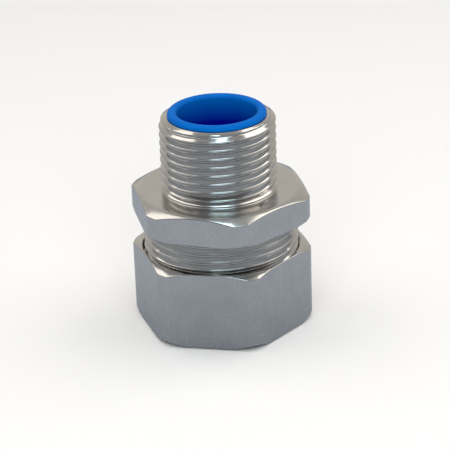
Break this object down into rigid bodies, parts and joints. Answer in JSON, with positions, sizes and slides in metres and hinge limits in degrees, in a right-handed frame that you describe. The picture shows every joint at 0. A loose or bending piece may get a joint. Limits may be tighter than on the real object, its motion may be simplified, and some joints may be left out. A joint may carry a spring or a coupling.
{
  "type": "conduit compression fitting",
  "caption": "Straight metal connector with an entry thread, a hexagon body and a hexagon nut that clamps a flexible conduit; plastic-lined throat.",
  "frame": {"origin": "centre of the compression nut's lower end face, on the fitting's axis", "axes": "+Z along the fitting's axis, from the conduit end up to the entry thread; two flats of the body's hexagon face -Y and +Y"},
  "size_m": [0.0316, 0.0294, 0.0385],
  "materials": {
    "plated_body": "satin nickel plate over turned brass",
    "plated_nut": "satin nickel plate over milled brass",
    "blue_plastic": "smooth moulded",
    "white_nylon": "moulded nylon",
    "zinc_steel": "zinc plate"
  },
  "bodies": {
    "body": {"body": "plated_body", "throat_liner": "blue_plastic", "grounding_ferrule": "zinc_steel"},
    "seal": {"sealing_ring": "white_nylon"},
    "nut": {"compression_nut": "plated_nut"}
  },
  "joints": [
    {"name": "nut_travel", "type": "slide", "parent": "body", "child": "seal", "axis": [0, 0, 1], "range_m": [-0.003, 0.0045]},
    {"name": "nut_turn", "type": "hinge", "parent": "seal", "child": "nut", "pos_m": [0, 0, 0.007], "axis": [0, 0, 1], "range_deg": [-720, 1080]}
  ],
  "couplings": [
    {"joint": "nut_travel", "follows": "nut_turn", "m_per_rad": 0.00023873}
  ]
}
